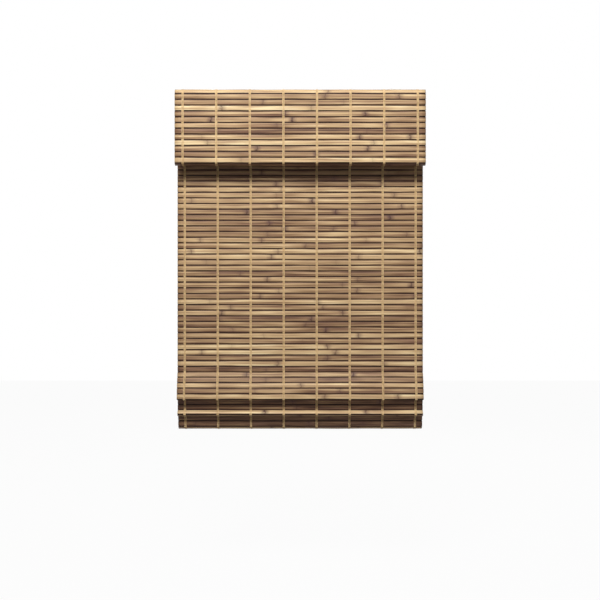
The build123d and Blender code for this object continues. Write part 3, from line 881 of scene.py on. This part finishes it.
def cord_rings(name, centres, body, nodes):
    """A ring on each lift cord at every ring line."""
    rings = bmesh.new()
    for centre in centres:
        for side in (-1, 1):
            section = bmesh.ops.create_circle(rings, segments=10, radius=ring_wire)["verts"]
            upright = Matrix.Translation((ring_radius, 0, 0)) @ Matrix.Rotation(radians(90), 4, "X")
            bmesh.ops.transform(rings, matrix=upright, verts=section)
            wire = list({e for v in section for e in v.link_edges})
            bmesh.ops.spin(rings, geom=wire, axis=(0, 0, 1), steps=28, angle=2 * pi, use_merge=True)
            ring = [v for v in rings.verts if not v.tag]
            bmesh.ops.translate(rings, vec=(side * cord_x, centre.y, centre.z), verts=ring)
            for vert in ring:
                vert.tag = True
    bmesh.ops.recalc_face_normals(rings, faces=rings.faces)
    for face in rings.faces:
        face.smooth = True
    piece = set_down(name, rings, nylon)
    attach(piece, body)
    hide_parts(*nodes)

    def lay(curve):
        for centre in centres:
            for side in (-1, 1):
                middle = Vector((side * cord_x, centre.y - ring_radius, centre.z))
                loop = [middle + Vector((0, sin(a), cos(a))) * loop_radius for a in (0, 1, 2, 3, 4, 5, 6.2)]
                lay_thread(curve, loop)

    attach(drawn_thread(f"{name}_loops", lay, loop_thread_radius, cotton), body)


ring_back = slat_thickness / 2 + ring_clearance + ring_radius + ring_wire
ring_line_y = mat_plane + ring_back
head_low, head_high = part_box("mat_head_rings")
head_centres = [Vector((0, ring_line_y, z)) for z in (head_high.z - ring_wire, head_low.z + ring_wire)]
cord_rings("head_rings", head_centres, "headrail", ["mat_head_rings"])
for number in range(1, 4):
    low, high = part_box(f"cord_rings_{number}")
    cord_rings(f"rings_{number}_pair", [(low + high) / 2], f"rings_{number}", [f"cord_rings_{number}"])
second_start = gathered_lines[len(front_loop_headings)][0]
third_start = gathered_lines[len(front_loop_headings) + len(back_loop_headings)][0]
foot_centres = [Vector((0, ring_line_y, gathered_top))]
foot_centres += [start + Vector((0, ring_back, 0)) for start in (second_start, third_start)]
cord_rings("gathered_rings", foot_centres, "foot", ["mat_gathered_rings"])

shaft_low, shaft_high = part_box("lift_shaft")
spool_line = (shaft_low.z + shaft_high.z) / 2
for hand, side in (("left", -1), ("right", 1)):
    x = Vector((side * cord_x, 0, 0))
    run = [x + Vector((0, ring_line_y, spool_line)), x + foot_centres[0]]
    cord = laid_cord(f"lift_cord_{hand}_strands", run, "headrail", f"lift_cord_{hand}")
    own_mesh(cord)
    tail = [x + centre for centre in foot_centres]
    tail.append(tail[-1] - Vector((0, 0, cord_end_knot)))
    laid_cord(f"cord_tail_{hand}_strands", tail, "foot", f"cord_tail_{hand}")

# Orbs: turned acetal beads under the last rings, where the cords are knotted off and the shade
# is set level.
orb_radius = 0.0036
orb_height = 0.010
orb_bore = 0.0009
orbs = bmesh.new()
for side in (-1, 1):
    profile = bmesh.ops.create_circle(orbs, segments=24, radius=1)["verts"]
    upright = Matrix.Rotation(radians(90), 4, "X")
    bmesh.ops.transform(orbs, matrix=upright, verts=profile)
    half = [v for v in profile if v.co.x < orb_bore / orb_radius]
    bmesh.ops.delete(orbs, geom=half, context="VERTS")
    profile = [v for v in orbs.verts if not v.tag]
    bmesh.ops.scale(orbs, vec=(orb_radius, 1, orb_height / 2), verts=profile)
    edges = list({e for v in profile for e in v.link_edges})
    ends = [v for v in profile if len(v.link_edges) == 1]
    edges.append(orbs.edges.new(ends))
    bmesh.ops.spin(orbs, geom=edges, axis=(0, 0, 1), steps=28, angle=2 * pi, use_merge=True)
    bead = [v for v in orbs.verts if not v.tag]
    middle = foot_centres[-1] + Vector((side * cord_x, 0, -cord_end_knot - orb_height / 2))
    bmesh.ops.translate(orbs, vec=middle, verts=bead)
    for vert in bead:
        vert.tag = True
bmesh.ops.recalc_face_normals(orbs, faces=orbs.faces)
for face in orbs.faces:
    face.smooth = True
beads = set_down("cord_orb_beads", orbs, acetal)
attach(beads, "foot")
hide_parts("cord_orbs")

# The floor is matt paint, far below the foot of the shade. The camera, mirrors and glass see it
# as white paper.
floor_drop = 0.35
floor_size = 6
paper_white = 0.96


def seen_directly(tree):
    """One where a camera, glossy or transmission ray arrives, and nothing where the others do."""
    rays = add(tree, "ShaderNodeLightPath").outputs
    seen = {0: rays["Is Camera Ray"], 1: rays["Is Glossy Ray"]}
    seen = add(tree, "ShaderNodeMath", seen, operation="ADD", use_clamp=True)
    return add(tree, "ShaderNodeMath", {0: seen, 1: rays["Is Transmission Ray"]}, operation="MAXIMUM")


floor_paint, tree = new_material("floor_matt_paint")
seen = add(tree, "ShaderNodeMath", {0: seen_directly(tree), 1: paper_white}, operation="MULTIPLY")
paint = add(tree, "ShaderNodeBsdfPrincipled", {"Base Color": linear("#a8a8a6"), "Roughness": 0.9})
glow = add(tree, "ShaderNodeEmission", {"Color": (1, 1, 1, 1), "Strength": 1.0})
mixed = add(tree, "ShaderNodeMixShader", {0: seen, 1: paint, 2: glow})
add(tree, "ShaderNodeOutputMaterial", {"Surface": mixed})
sheet = bmesh.new()
bmesh.ops.create_grid(sheet, x_segments=1, y_segments=1, size=floor_size)
bmesh.ops.translate(sheet, vec=(0, 0, cad_box[0].z - floor_drop), verts=sheet.verts)
set_down("studio_floor", sheet, floor_paint)

# The air is white where it is seen directly, and lights the shade only a little.
world = bpy.data.worlds.new("studio_air")
bpy.context.scene.world = world
world.use_nodes = True
air = world.node_tree
air.nodes.clear()
white = add(air, "ShaderNodeBackground", {"Color": (1, 1, 1, 1), "Strength": 1.0})
soft = add(air, "ShaderNodeBackground", {"Color": linear("#f4f2ee"), "Strength": 0.04})
mixed = add(air, "ShaderNodeMixShader", {0: seen_directly(air), 1: soft, 2: white})
add(air, "ShaderNodeOutputWorld", {"Surface": mixed})


# A broad lamp high in front, which lays the valance's shadow on the mat, a weak low one, and
# one on the window side.
def softbox(name, place, aim, size, power):
    """A square soft light."""
    data = bpy.data.lights.new(name, "AREA")
    data.shape = "SQUARE"
    data.size = size
    data.energy = power
    light = bpy.data.objects.new(name, data)
    light.location = place
    light.rotation_euler = (Vector(aim) - Vector(place)).to_track_quat("-Z", "Y").to_euler()
    bpy.context.scene.collection.objects.link(light)


softbox("key_softbox", place=(-0.25, -1.85, 1.45), aim=(0, 0, -0.35), size=0.9, power=93)
softbox("fill_softbox", place=(0.6, -3.0, -0.4), aim=(0, 0, -0.45), size=1.6, power=3)
softbox("window_softbox", place=(0.7, 2.3, 0.9), aim=(0, 0, -0.4), size=1.6, power=42)
